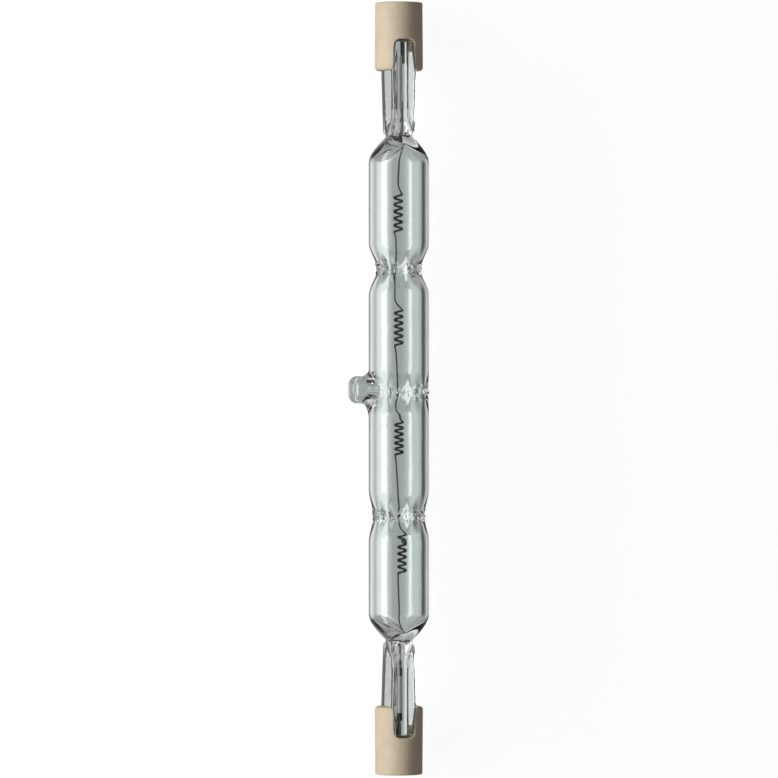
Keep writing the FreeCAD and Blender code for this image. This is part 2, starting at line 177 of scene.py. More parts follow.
class CapSizes(bpy.types.PropertyGroup):
    """The slotted ceramic caps, their cement and their contacts."""
    reach: length("Length of a cap", 10.4)
    end_diameter: length("Diameter of a cap at its end", 7.2)
    mouth_diameter: length("Diameter of a cap at its mouth", 7.36)
    mouth_bevel: length("Rounding of the mouth", 0.6)
    rim_bevel: length("Rounding of the rim", 0.16)
    slot_depth: length("Depth of the slot", 4.75)
    slot_mouth: length("Width of the slot at the mouth", 3.76)
    slot_floor: length("Width of the slot at its floor", 3.2)
    recess: length("Diameter of the contact recess", 4.6)
    recess_bevel: length("Bevel at the mouth of the recess", 0.3)
    lead_bore: length("Bore that the outer lead passes through", 1.5)
    shank_bore: length("Bore that holds the shank of the contact", 2.06)
    shank_end: length("End of the contact's shank, above mid length", 55.1)
    contact_face: length("Contact face below the rim", 1.7)
    contact_diameter: length("Diameter of the contact", 4.0)
    contact_gap: length("Gap round the contact", 0.03)
    contact_thickness: length("Thickness of the contact's disc", 0.5)
    shank: length("Diameter of the contact's shank", 2.0)
    cement_face: length("Open face of the cement, above mid length", 51.2)
    grain: length("Height of the pressed grain of the ceramic", 0.012)
    voxel: length("Size of the cells from which pressed surfaces are meshed", 0.085)


class Finishes(bpy.types.PropertyGroup):
    """Colours of the lamp and of the studio round it."""
    quartz: colour("Tint of the fused quartz", (0.945, 0.995, 0.972))
    tungsten: colour("Drawn and fired tungsten", (0.105, 0.105, 0.1))
    molybdenum: colour("Leads and foils", (0.19, 0.187, 0.18))
    steatite: colour("Pressed and fired cap", (0.765, 0.645, 0.47))
    steatite_dark: colour("Darker specks and handling marks", (0.55, 0.45, 0.33))
    cement: colour("Fired cement", (0.55, 0.50, 0.42))
    nickel: colour("Contact face", (0.58, 0.55, 0.50))
    floor: colour("Pale floor", (0.55, 0.55, 0.55))


class LampProperties(bpy.types.PropertyGroup):
    tube: PointerProperty(type=TubeSizes)
    waist: PointerProperty(type=WaistSizes)
    seal: PointerProperty(type=SealSizes)
    filament: PointerProperty(type=FilamentSizes)
    lead: PointerProperty(type=LeadSizes)
    cap: PointerProperty(type=CapSizes)
    finish: PointerProperty(type=Finishes)


def lamp():
    return bpy.context.scene.lamp


def ease(share):
    """Smooth step from 0 to 1, with level ends."""
    share = np.clip(share, 0.0, 1.0)
    return share * share * (3 - 2 * share)


def blend(first, last, share):
    return first + (last - first) * share


def resting_roll():
    """Angle of the exhaust tip below level when both it and the tube touch the floor."""
    tube = lamp().tube
    reach = tube.tip_reach - tube.tip_round
    offset = tube.tip_diameter / 2 - tube.tip_round
    arm = math.hypot(reach, offset)
    return math.asin((tube.diameter / 2 - tube.tip_round) / arm) - math.atan2(offset, reach)


def resting_place():
    """Matrix from the upright lamp (x right, y away, z up its axis) to its place on the floor."""
    roll = resting_roll()
    radius = lamp().tube.diameter / 2
    axis_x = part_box("quartz_envelope")[1].x - radius
    return Matrix((
        (math.cos(roll), math.sin(roll), 0, axis_x),
        (0, 0, 1, 0),
        (math.sin(roll), -math.cos(roll), 0, radius),
        (0, 0, 0, 1),
    ))


def laid_down(points):
    """Points of the upright lamp, as they lie on the floor."""
    place = np.array(resting_place())
    points = np.asarray(points, dtype=float)
    return points @ place[:3, :3].T + place[:3, 3]


def seal_turn():
    return lamp().seal.turned - math.pi / 2


def web_directions():
    """Across the width of a seal, and along its thickness, in the upright lamp."""
    angle = seal_turn()
    return (np.array((math.cos(angle), math.sin(angle), 0.0)),
            np.array((-math.sin(angle), math.cos(angle), 0.0)))


def turned_over(points):
    """The same points at the lower end: half a turn about the width of the seal."""
    width, thickness = web_directions()
    points = np.asarray(points, dtype=float)
    return (np.outer(points @ width, width) - np.outer(points @ thickness, thickness)
            - points * (0, 0, 1))


def at_end(points, end):
    return np.asarray(points, dtype=float) if ENDS[end] > 0 else turned_over(points)


CORNER_SHARE = 0.45     # the most of a side that one rounding takes


def rail_outline(width, web, side):
    """I-shaped section of a seal with its corners drawn round, from the middle of one end."""
    seal = lamp().seal
    half, rise, web, groove = width / 2, side / 2, web / 2, seal.groove / 2
    quarter = [(half, rise - seal.corner), (half - seal.corner, rise),
               (groove + seal.slope, rise), (groove, web)]
    upper = quarter + [(-u, v) for u, v in reversed(quarter)]
    corners = upper + [(-u, -v) for u, v in upper]
    outline = [(half, 0.0)]
    for before, corner, after in zip(corners[-1:] + corners, corners, corners[1:] + corners[:1]):
        reach = min(seal.corner_round, CORNER_SHARE * math.dist(before, corner),
                    CORNER_SHARE * math.dist(after, corner))
        outline += rounded(corner, before, after, reach, 4)
    return np.array(outline + outline[:1])


def rail_points(angles, width, web, side):
    """Points of that section, one for each angle, on the same lines all along the seal."""
    seal = lamp().seal
    outline = rail_outline(width, web, side)
    usual = rail_outline(seal.width, seal.web, seal.rail)
    steps = np.linalg.norm(np.diff(usual, axis=0), axis=1)
    along = np.concatenate(([0.0], np.cumsum(steps))) / steps.sum()
    share = (angles / FULL_TURN) % 1.0
    return np.interp(share, along, outline[:, 0]), np.interp(share, along, outline[:, 1])


def ring_points(angles, width, web, side, squareness, turned, rails=0.0):
    """Section of the glass: a width, a thickness at the middle and one at the sides."""
    seal = lamp().seal
    cosine = np.cos(angles - turned)
    sine = np.sin(angles - turned)
    across = np.sign(cosine) * np.abs(cosine) ** (2 / squareness)
    rise = np.sign(sine) * np.abs(sine) ** (2 / squareness)
    thickness = blend(web, side, ease((np.abs(across) - seal.rail_start) / seal.rail_rise))
    u = width / 2 * across
    v = thickness / 2 * rise
    if rails > 0:
        rail_u, rail_v = rail_points(angles - turned, width, web, side)
        u, v = blend(u, rail_u, rails), blend(v, rail_v, rails)
    return (u * math.cos(turned) - v * math.sin(turned),
            u * math.sin(turned) + v * math.cos(turned))


def domed(share):
    """Step from 0 to 1 that starts level and ends steeply, as the end of a blown cell does."""
    share = float(np.clip(share, 0.0, 1.0))
    return share * share * (1.5 - 0.5 * share)


def waists():
    """Height and width of each waist."""
    waist = lamp().waist
    widths = (waist.upper_width, waist.middle_width, waist.lower_width)
    return [(waist.middle + waist.pitch * step, width) for step, width in zip((1, 0, -1), widths)]


def neck_height():
    return lamp().seal.end - lamp().seal.reach


def shoulder_height():
    return neck_height() - lamp().seal.shoulder


def pinch_at(height):
    """How far a waist pinches the tube at a height, from 0 to 1, and how wide that waist is."""
    waist = lamp().waist
    for middle, width in waists():
        offset = abs(height - middle)
        if offset < waist.reach / 2:
            return float(ease((waist.reach / 2 - offset) / (waist.reach - waist.jaw) * 2)), width
    return 0.0, lamp().tube.diameter


def skin_section(height):
    """Outer section at a height: width, web, side, squareness, turn and share of the rails."""
    seal, waist, diameter = lamp().seal, lamp().waist, lamp().tube.diameter
    level = abs(height)
    if level <= shoulder_height():
        pinch, width = pinch_at(height)
        return (blend(diameter, width, pinch), blend(diameter, waist.web, pinch),
                blend(diameter, waist.lobe, pinch), 2.0, 0.0)
    if level <= neck_height():
        pinch = domed((level - shoulder_height()) / seal.shoulder)
        thickness = blend(diameter, seal.neck_rail, pinch)
        return (blend(diameter, seal.width, pinch), thickness, thickness,
                blend(2.0, seal.squareness, pinch), seal_turn())
    rails = float(ease((level - neck_height()) / seal.merge))
    depth = float(ease((level - neck_height()) / seal.pocket))
    if level <= seal.mouth:
        share = (level - neck_height()) / (seal.mouth - neck_height())
        side = blend(seal.neck_rail, seal.rail, share)
        return seal.width, blend(side, seal.web, depth), side, seal.squareness, seal_turn(), rails
    share = (level - seal.mouth) / (seal.end - seal.mouth)
    return (blend(seal.width, seal.tip_width, share), seal.web,
            blend(seal.rail, seal.tip_rail, share), seal.squareness, seal_turn(), rails)


def cavity_section(height):
    """Section of the cavity at a height, in the same terms."""
    tube, seal, waist = lamp().tube, lamp().seal, lamp().waist
    diameter = tube.diameter - 2 * tube.wall
    level = abs(height)
    if level <= shoulder_height():
        pinch, width = pinch_at(height)
        return (blend(diameter, width - 2 * tube.wall, pinch), blend(diameter, waist.slit, pinch),
                blend(diameter, waist.lobe - 2 * waist.lobe_wall, pinch), 2.0, 0.0)
    pinch = domed((level - shoulder_height()) / (seal.shoulder - seal.cavity_end))
    gap = blend(diameter, seal.cavity_gap, pinch)
    return blend(diameter, seal.cavity_width, pinch), gap, gap, 2.0, seal_turn()


def heights(stops, steps):
    """Rows between the stops, each stretch divided into steps of about the given length."""
    rows = []
    for low, high, step in zip(stops, stops[1:], steps):
        count = max(1, round((high - low) / step))
        rows += [blend(low, high, index / count) for index in range(count)]
    return rows + [stops[-1]]


def tube_rows(end_stops, end_steps, cell_step, waist_step):
    """Rows from the lower end of the glass to the upper one."""
    stops, steps = [-shoulder_height()], []
    for middle, _ in reversed(waists()):
        half, uneven = lamp().waist.reach / 2, lamp().waist.crumple_reach
        stops += [middle - half, middle - uneven, middle + uneven, middle + half]
        steps += [cell_step, cell_step / 2, waist_step, cell_step / 2]
    stops.append(shoulder_height())
    steps.append(cell_step)
    outer = heights([shoulder_height(), *end_stops], end_steps)
    lower = [-height for height in reversed(outer)]
    return lower[:-1] + heights(stops, steps) + outer[1:]


def pinched_places():
    """Middle, reach and depth of each stretch of glass that pinching has left uneven."""
    waist, seal = lamp().waist, lamp().seal
    neck = neck_height() + seal.crumple_middle
    places = [(middle, waist.crumple_reach, waist.crumple) for middle, _ in waists()]
    return places + [(side * neck, seal.crumple_reach, seal.crumple) for side in (1, -1)]


# Bumps and creases of pinched glass: how many to a metre, and how strong
BUMPS = 1450
FINE_BUMPS, FINE_SHARE = 2.1, 0.45
CREASES, CREASE_WIDTH, CREASE_DEPTH = 0.8, 0.13, 5
CREASE_SHIFT = Vector((0, 0, 40))


def crumpled(points, seed):
    """Move points in and out where jaws have pinched the glass."""
    points = np.array(points, dtype=float)
    for middle, reach, depth in pinched_places():
        near = np.abs(points[:, 2] - middle) < reach
        for index in np.flatnonzero(near):
            place = points[index]
            fade = float(ease(1 - abs(place[2] - middle) / reach))
            spot = Vector(place) * BUMPS + Vector((seed, 0, 0))
            lift = noise.noise(spot) + FINE_SHARE * noise.noise(spot * FINE_BUMPS)
            fold = abs(noise.noise(spot * CREASES + CREASE_SHIFT))
            lift -= max(0.0, CREASE_WIDTH - fold) * CREASE_DEPTH
            place[:2] *= 1 + depth * fade * lift / max(np.hypot(*place[:2]), MM)
    return points


def surface_point(section, angle, height, seed):
    x, y = ring_points(np.array([angle]), *section(height))
    return crumpled([(x[0], y[0], height)], seed)[0]


WALL_PULL = 0.24      # how far the flare of the tip follows the tube, as a share of its length
NECK_PULL = 0.3       # and the neck of the tip
WALL_STEPS, NECK_STEPS = 4, 10
NEARBY = 0.04         # share of the way from the foot that gives the wall's direction there


def branch_rows(section, corner, foot, neck, ends, seed):
    """One spoke of the glass round the exhaust tip, from the tube wall to the tip's end.

    The corner and the foot are places on the tube wall, as an angle and a height. The
    neck is the start of the straight part, and the ends are the points beyond it.
    """
    spoke = []
    for step in range(1, WALL_STEPS + 1):
        share = 1 - step / WALL_STEPS
        spoke.append(surface_point(section, blend(foot[0], corner[0], share),
                                   blend(foot[1], corner[1], share), seed))
    start = spoke[-1]
    near = surface_point(section, blend(foot[0], corner[0], NEARBY),
                         blend(foot[1], corner[1], NEARBY), seed)
    along = start - near
    along /= np.linalg.norm(along)
    pull = np.linalg.norm(neck - start)
    control = [start, start + along * WALL_PULL * pull,
               neck + np.array((NECK_PULL * pull, 0, 0)), neck]
    for step in range(1, NECK_STEPS + 1):
        t = step / NECK_STEPS
        weights = ((1 - t) ** 3, 3 * t * (1 - t) ** 2, 3 * t * t * (1 - t), t ** 3)
        spoke.append(sum(weight * point for weight, point in zip(weights, control)))
    return spoke + ends


def glass_shell(name, rows, columns, section, tip, seed, inward):
    """Closed skin through all the rows, with a round branch on the side of the exhaust tip.

    The tip gives its height, half the angle and the two heights of its opening in the
    grid, its foot, its neck and the rounded profile of its end.
    """
    def at(row, column):
        return row * columns + column % columns

    angles = np.arange(columns) * FULL_TURN / columns
    rows = np.array(rows)
    points = []
    for height in rows:
        x, y = ring_points(angles, *section(height))
        points += crumpled(np.column_stack((x, y, np.full(columns, height))), seed).tolist()
    first_column = round((math.pi - tip["half_angle"]) / FULL_TURN * columns)
    last_column = columns - first_column
    first_row = int(np.argmin(np.abs(rows - tip["low"])))
    last_row = int(np.argmin(np.abs(rows - tip["high"])))
    faces = []
    for row in range(len(rows) - 1):
        for column in range(columns):
            if first_row <= row < last_row and first_column <= column < last_column:
                continue
            faces.append((at(row, column), at(row, column + 1), at(row + 1, column + 1),
                          at(row + 1, column)))
    loop = [(first_row, column) for column in range(first_column, last_column)]
    loop += [(row, last_column) for row in range(first_row, last_row)]
    loop += [(last_row, column) for column in range(last_column, first_column, -1)]
    loop += [(row, first_column) for row in range(last_row, first_row, -1)]
    half_angle = math.pi - angles[first_column]
    rings = []
    for row, column in loop:
        corner = (angles[column], rows[row])
        up = (corner[1] - tip["height"]) / (tip["high"] - tip["low"]) * 2
        side = (corner[0] - math.pi) / half_angle
        phase = math.atan2(up, side)
        lift = tip["foot_up"] if up > 0 else tip["foot_down"]
        foot = (math.pi + tip["foot_angle"] * math.cos(phase), tip["height"] + lift * math.sin(phase))
        ends = [np.array((-reach, -radius * math.cos(phase), tip["height"] + radius * math.sin(phase)))
                for reach, radius in tip["profile"]]
        rings.append(branch_rows(section, corner, foot, ends[0], ends[1:], seed))
    start = len(points)
    depth = len(rings[0])
    for spoke in rings:
        points += [point.tolist() for point in spoke]
    points.append((-tip["end"], 0, tip["height"]))
    for index in range(len(loop)):
        following = (index + 1) % len(loop)
        here, beside = start + index * depth, start + following * depth
        faces.append((at(*loop[index]), at(*loop[following]), beside, here))
        for step in range(depth - 1):
            faces.append((here + step, beside + step, beside + step + 1, here + step + 1))
        faces.append((here + depth - 1, beside + depth - 1, len(points) - 1))
    for row in (0, len(rows) - 1):
        points.append((0, 0, rows[row]))
        for column in range(columns):
            faces.append((at(row, column), at(row, column + 1), len(points) - 1))
    return closed_mesh(name, laid_down(points), faces, inward)


def closed_mesh(name, points, faces, inward=False):
    """A mesh with its faces turned outwards, or inwards for the wall of a cavity."""
    work = bmesh.new()
    corners = [work.verts.new(point) for point in points]
    for face in faces:
        work.faces.new([corners[index] for index in face])
    bmesh.ops.delete(work, geom=[corner for corner in work.verts if not corner.link_faces],
                     context="VERTS")
    bmesh.ops.recalc_face_normals(work, faces=work.faces)
    if inward:
        bmesh.ops.reverse_faces(work, faces=work.faces)
    mesh = bpy.data.meshes.new(name)
    work.to_mesh(mesh)
    work.free()
    return mesh


def joined(name, meshes):
    work = bmesh.new()
    for mesh in meshes:
        work.from_mesh(mesh)
        bpy.data.meshes.remove(mesh)
    mesh = bpy.data.meshes.new(name)
    work.to_mesh(mesh)
    work.free()
    return mesh


def placed(name, data):
    """New object in the scene, at the origin."""
    item = bpy.data.objects.new(name, data)
    bpy.context.scene.collection.objects.link(item)
    return item


def kept_inside(mesh, node):
    """Keep every corner inside the box of the CAD node that the mesh stands for."""
    low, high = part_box(node)
    corners = np.clip(corner_values(mesh, "co"), np.array(low), np.array(high))
    mesh.vertices.foreach_set("co", corners.ravel())
    mesh.update()


def make_piece(name, mesh, node, slot):
    """Put a finished mesh in the scene in place of a CAD node."""
    kept_inside(mesh, node)
    mesh.shade_smooth()
    mesh.materials.clear()
    mesh.materials.append(quartz_material() if slot == "quartz" else grained_material(slot))
    piece = placed(name, mesh)
    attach(piece, "root")
    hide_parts(node)


def lathe(profile, columns):
    """Points and faces of a solid of revolution from (radius, height) pairs, ends on the axis."""
    angles = np.arange(columns) * FULL_TURN / columns
    points = [(0, 0, profile[0][1])]
    for radius, height in profile[1:-1]:
        points += [(radius * math.cos(angle), radius * math.sin(angle), height) for angle in angles]
    points.append((0, 0, profile[-1][1]))
    faces = []
    last = len(points) - 1
    rows = len(profile) - 2
    for column in range(columns):
        beside = (column + 1) % columns
        faces.append((0, 1 + column, 1 + beside))
        for row in range(rows - 1):
            low = 1 + row * columns
            faces.append((low + column, low + beside, low + columns + beside, low + columns + column))
        low = 1 + (rows - 1) * columns
        faces.append((low + column, low + beside, last))
    return points, faces


def revolved(name, profile, columns, end):
    """Closed solid of revolution at one end of the lamp."""
    points, faces = lathe(profile, columns)
    return closed_mesh(name, laid_down(at_end(points, end)), faces)


def rounded(corner, start, finish, radius, steps=5):
    """Points of a rounding at a corner of a profile, from the side of start to that of finish."""
    corner, start, finish = (np.array(point, dtype=float) for point in (corner, start, finish))
    before = (start - corner) * radius / np.linalg.norm(start - corner)
    after = (finish - corner) * radius / np.linalg.norm(finish - corner)
    shares = [step / steps for step in range(steps + 1)]
    return [tuple(corner + before * (1 - t) ** 2 + after * t * t) for t in shares]


class NodeTree:
    """Short way to add nodes and links to a tree."""

    def __init__(self, tree):
        self.tree = tree

    def link(self, output, socket):
        self.tree.links.new(output, socket)

    def add(self, kind, links=None, **settings):
        node = self.tree.nodes.new(kind)
        for name, value in settings.items():
            setattr(node, name, value)
        for name, value in (links or {}).items():
            if isinstance(value, bpy.types.NodeSocket):
                self.link(value, node.inputs[name])
            else:
                node.inputs[name].default_value = value
        return node

    def math(self, operation, *values):
        return self.add("ShaderNodeMath", dict(enumerate(values)), operation=operation).outputs[0]

    def vector(self, operation, first, second):
        name = "Scale" if operation == "SCALE" else 1
        node = self.add("ShaderNodeVectorMath", {0: first, name: second}, operation=operation)
        return node.outputs["Value" if operation == "DOT_PRODUCT" else "Vector"]

    def noise(self, place, scale, detail, roughness=0.5):
        return self.add("ShaderNodeTexNoise", {"Vector": place, "Scale": scale, "Detail": detail,
                                               "Roughness": roughness}).outputs["Fac"]

    def bump(self, height, strength, distance, **more):
        return self.add("ShaderNodeBump", {"Height": height, "Strength": strength,
                                           "Distance": distance, **more}).outputs[0]


def new_group(name, inputs, outputs):
    """Shader node group with named inputs, given with their values, and named outputs."""
    tree = bpy.data.node_groups.new(name, "ShaderNodeTree")
    for label, value in inputs.items():
        kind = "Vector" if value is None else "Color" if isinstance(value, tuple) else "Float"
        socket = tree.interface.new_socket(name=label, in_out="INPUT",
                                           socket_type="NodeSocket" + kind)
        if value is not None:
            socket.default_value = value
    for label, kind in outputs.items():
        tree.interface.new_socket(name=label, in_out="OUTPUT", socket_type="NodeSocket" + kind)
    nodes = NodeTree(tree)
    return nodes, nodes.add("NodeGroupInput").outputs, nodes.add("NodeGroupOutput").inputs


def surface_grain():
    """Group: two tones broken up by grain of a given size, with a height for a bump."""
    name = "Surface grain"
    if name in bpy.data.node_groups:
        return bpy.data.node_groups[name]
    nodes, given, result = new_group(
        name, {"Vector": None, "Grain": 4000.0, "Blotch": 300.0, "Light": (0.8, 0.8, 0.8, 1),
               "Dark": (0.4, 0.4, 0.4, 1), "Contrast": 0.3}, {"Color": "Color", "Height": "Float"})
    fine = nodes.noise(given["Vector"], given["Grain"], 4.0, 0.6)
    broad = nodes.noise(given["Vector"], given["Blotch"], 3.0, 0.55)
    mask = nodes.add("ShaderNodeMapRange", {"Value": nodes.math("ADD", fine, broad),
                                            "From Min": 0.75, "From Max": 1.3, "To Min": 0.0,
                                            "To Max": given["Contrast"]})
    mixed = nodes.add("ShaderNodeMix", {0: mask.outputs[0], 6: given["Light"], 7: given["Dark"]},
                      data_type="RGBA")
    nodes.link(mixed.outputs[2], result["Color"])
    nodes.link(fine, result["Height"])
    return nodes.tree


def new_material(name):
    """Material with its node writer, its shader and Object coordinates."""
    material = bpy.data.materials.new(name)
    material.use_nodes = True
    nodes = NodeTree(material.node_tree)
    shader = material.node_tree.nodes["Principled BSDF"]
    place = nodes.add("ShaderNodeTexCoord").outputs["Object"]
    return material, nodes, shader, place


def opaque(value):
    return (*value, 1.0)


# Name, darker tone as a share, grain, blotches, contrast, bump, roughness and metallic of each slot
SURFACES = {
    "tungsten": ("Fired tungsten", 0.4, 9000.0, 1500.0, 0.6, 0.4, 0.45, 1.0),
    "molybdenum": ("Etched molybdenum", 0.5, 6000.0, 900.0, 0.5, 0.35, 0.38, 1.0),
    "steatite": ("Pressed steatite", None, 5200.0, 420.0, 0.5, 0.6, 0.62, 0.0),
    "cement": ("Fired cement", 0.55, 7000.0, 1200.0, 0.6, 0.9, 0.88, 0.0),
    "nickel": ("Satin nickel", 0.6, 8000.0, 700.0, 0.4, 0.3, 0.3, 1.0),
}
DRAWN_FOIL = (1.0, 0.2, 1.0)
ROUGH_SPAN = 0.1
GRAIN_HEIGHT = 0.02 * MM


def grained_material(slot):
    """Material of a slot: two broken-up tones, uneven roughness and a fine bump."""
    name, share, grain, blotch, contrast, bump, roughness, metallic = SURFACES[slot]
    if name in bpy.data.materials:
        return bpy.data.materials[name]
    material, nodes, shader, place = new_material(name)
    light = getattr(lamp().finish, slot)
    dark = [share * tone for tone in light] if share else lamp().finish.steatite_dark
    if slot == "molybdenum":
        place = nodes.add("ShaderNodeMapping", {"Vector": place, "Scale": DRAWN_FOIL}).outputs[0]
    group = nodes.add("ShaderNodeGroup", node_tree=surface_grain())
    for label, value in (("Grain", grain), ("Blotch", blotch), ("Light", opaque(light)),
                         ("Dark", opaque(dark)), ("Contrast", contrast)):
        group.inputs[label].default_value = value
    nodes.link(place, group.inputs["Vector"])
    height = group.outputs["Height"]
    rough = nodes.add("ShaderNodeMapRange", {"Value": height, "To Min": roughness - ROUGH_SPAN,
                                             "To Max": roughness + ROUGH_SPAN})
    nodes.link(group.outputs["Color"], shader.inputs["Base Color"])
    nodes.link(rough.outputs[0], shader.inputs["Roughness"])
    nodes.link(nodes.bump(height, bump, GRAIN_HEIGHT), shader.inputs["Normal"])
    shader.inputs["Metallic"].default_value = metallic
    return material


# Streaks that drawing leaves along the tube, and the waves that flames leave: how many to a
# metre, how strong and how high
STREAKS, STREAK_STRETCH = 900.0, (1.0, 0.03, 1.0)
QUARTZ_IOR = 1.458
STREAK_BUMP = (0.25, 0.02 * MM)
WAVES, WAVE_BUMP = 260.0, (0.3, 0.08 * MM)


def quartz_material():
    """Clear fused quartz with drawn streaks and the faint waviness of flame work."""
    name = "Fused quartz"
    if name in bpy.data.materials:
        return bpy.data.materials[name]
    material, nodes, shader, place = new_material(name)
    drawn = nodes.vector("MULTIPLY", place, STREAK_STRETCH)
    fine = nodes.bump(nodes.noise(drawn, STREAKS, 2.0), *STREAK_BUMP)
    broad = nodes.bump(nodes.noise(place, WAVES, 1.0), *WAVE_BUMP, Normal=fine)
    nodes.link(broad, shader.inputs["Normal"])
    for label, value in (("Base Color", opaque(lamp().finish.quartz)), ("Roughness", 0.0),
                         ("IOR", QUARTZ_IOR), ("Transmission Weight", 1.0)):
        shader.inputs[label].default_value = value
    return material


TIP_HALF_ANGLE = math.radians(66)
# How far the tip's opening goes below and above the middle of its waist, and the angle of its foot
SKIN_ROOT = (4.8 * MM, 4.2 * MM, math.radians(50))
CAVITY_ROOT = (2.5 * MM, 3.0 * MM, math.radians(38))
# Steps between rows in the seal, along the tube and where the glass is crumpled
SKIN_ROWS = ([0.22 * MM, 0.25 * MM, 0.5 * MM], 0.5 * MM, 0.12 * MM)
CAVITY_ROWS = ([0.25 * MM], 0.6 * MM, 0.25 * MM)
SKIN_COLUMNS, SKIN_SEED = 180, 4.0
CAVITY_COLUMNS, CAVITY_SEED = 120, 31.0


def domed_end(start, end, radius, depth, fall, steps):
    """Profile of a tube closed by a dome: (reach, radius) pairs, from the start of the tube."""
    profile = [(start, radius), (end - depth, radius)]
    for step in range(1, steps):
        angle = math.pi / 2 * step / steps
        profile.append((end - depth * (1 - math.sin(angle)), radius - fall * (1 - math.cos(angle))))
    return profile


def tip_branch(root, foot_up, foot_down, profile, end):
    """What a shell takes for the exhaust tip or its bore."""
    below, above, foot_angle = root
    middle = lamp().waist.middle
    return {"height": lamp().tube.tip_height, "half_angle": TIP_HALF_ANGLE, "low": middle - below,
            "high": middle + above, "foot_angle": foot_angle, "foot_up": foot_up,
            "foot_down": foot_down, "profile": profile, "end": end}


class LAMP_OT_quartz_envelope(bpy.types.Operator):
    """Make the quartz tube with its waists, exhaust tip and pinch seals"""
    bl_idname = "lamp.quartz_envelope"
    bl_label = "Quartz envelope"

    def execute(self, context):
        tube, seal = lamp().tube, lamp().seal
        radius, bore = tube.tip_diameter / 2, tube.tip_bore / 2
        rows = tube_rows([neck_height(), seal.mouth, seal.end], *SKIN_ROWS)
        profile = domed_end(tube.tip_neck, tube.tip_reach, radius, tube.tip_round, tube.tip_dome, 9)
        tip = tip_branch(SKIN_ROOT, radius + tube.tip_flare_up, radius + tube.tip_flare_down,
                         profile, tube.tip_reach)
        skin = glass_shell("skin", rows, SKIN_COLUMNS, skin_section, tip, SKIN_SEED, False)
        cavity_end = shoulder_height() + seal.shoulder - seal.cavity_end
        rows = tube_rows([cavity_end], *CAVITY_ROWS)
        profile = domed_end(tube.tip_neck - tube.tip_bore_ahead, tube.tip_bore_reach, bore,
                            tube.tip_bore_hollow, tube.tip_bore_hollow, 7)
        flare = bore + tube.tip_bore_flare
        tip = tip_branch(CAVITY_ROOT, flare, flare, profile, tube.tip_bore_reach)
        cavity = glass_shell("cavity", rows, CAVITY_COLUMNS, cavity_section, tip, CAVITY_SEED, True)
        make_piece("quartz_tube", joined("quartz_tube", [skin, cavity]), "quartz_envelope", "quartz")
        return {"FINISHED"}


def coiled_wire():
    """Node tree that winds a fine wire round a path and gives it its thickness."""
    tree = bpy.data.node_groups.new("Coiled wire", "GeometryNodeTree")
    for label, kind in (("Geometry", "Geometry"), ("Winding Radius", "Float"), ("Pitch", "Float"),
                        ("Wire Radius", "Float"), ("Steps", "Float"), ("Sides", "Int"),
                        ("Material", "Material")):
        tree.interface.new_socket(name=label, in_out="INPUT", socket_type="NodeSocket" + kind)
    tree.interface.new_socket(name="Geometry", in_out="OUTPUT", socket_type="NodeSocketGeometry")
    nodes = NodeTree(tree)
    given = nodes.add("NodeGroupInput").outputs
    result = nodes.add("NodeGroupOutput").inputs
    step = nodes.math("DIVIDE", given["Pitch"], given["Steps"])
    path = nodes.add("GeometryNodeResampleCurve", {"Curve": given["Geometry"], "Length": step},
                     mode="LENGTH")
    along = nodes.add("GeometryNodeSplineParameter").outputs["Length"]
    phase = nodes.math("MULTIPLY", nodes.math("DIVIDE", along, given["Pitch"]), FULL_TURN)
    tangent = nodes.add("GeometryNodeInputTangent").outputs[0]
    normal = nodes.add("GeometryNodeInputNormal").outputs[0]
    cross = nodes.vector("CROSS_PRODUCT", tangent, normal)
    out = nodes.vector("SCALE", normal, nodes.math("COSINE", phase))
    beside = nodes.vector("SCALE", cross, nodes.math("SINE", phase))
    offset = nodes.vector("SCALE", nodes.vector("ADD", out, beside), given["Winding Radius"])
    wound = nodes.add("GeometryNodeSetPosition", {"Geometry": path.outputs[0], "Offset": offset})
    section = nodes.add("GeometryNodeCurvePrimitiveCircle", {"Resolution": given["Sides"],
                                                             "Radius": given["Wire Radius"]})
    wire = nodes.add("GeometryNodeCurveToMesh", {"Curve": wound.outputs[0], "Fill Caps": True,
                                                 "Profile Curve": section.outputs[0]})
    realized = nodes.add("GeometryNodeRealizeInstances", {"Geometry": wire.outputs[0]})
    finished = nodes.add("GeometryNodeSetMaterial", {"Geometry": realized.outputs[0],
                                                     "Material": given["Material"]})
    nodes.link(finished.outputs[0], result["Geometry"])
    return tree


def path_object(name, lines):
    """Curve object with one open poly spline for each line of points."""
    curve = bpy.data.curves.new(name, "CURVE")
    curve.dimensions = "3D"
    for line in lines:
        spline = curve.splines.new("POLY")
        spline.points.add(len(line) - 1)
        for place, point in zip(spline.points, line):
            place.co = (*point, 1.0)
    return placed(name, curve)


def baked(source, tree, settings):
    """Plain mesh that a node tree makes from an object, which is then removed."""
    modifier = source.modifiers.new(tree.name, "NODES")
    modifier.node_group = tree
    for socket in tree.interface.items_tree:
        if socket.in_out == "INPUT" and socket.name in settings:
            modifier[socket.identifier] = settings[socket.name]
    evaluated = source.evaluated_get(bpy.context.evaluated_depsgraph_get())
    mesh = bpy.data.meshes.new_from_object(evaluated)
    source.modifiers.remove(modifier)
    bpy.data.objects.remove(source)
    return mesh


COIL_TOPS = (29.8, 12.15, -4.9, -22.45)
COIL_LENGTHS = (6.2, 5.85, 5.45, 5.95)
COIL_OFFSETS = (-0.1, -0.03, 0.02, 0.48)
LEG_ENDS = ((-0.15, -0.15), (-0.44, -0.62), (-0.44, -0.48), (-0.44, 0.08), (-0.14, 0.05))
LEG_BENDS = ((), ((-0.42, 19.3), (-0.62, 17.0)), ((-0.2, 1.6), (-0.2, -1.4), (-0.48, -2.3)),
             ((0.06, -18.6),), ((0.08, -34.0),))
COIL_STEPS = 40


LEG_RISE = 1.3            # height of a leg's end beyond its coil, in lead-ins
SWAY, SWAY_RATE = 0.03, 1.3   # unevenness of the coils, and how often to a turn


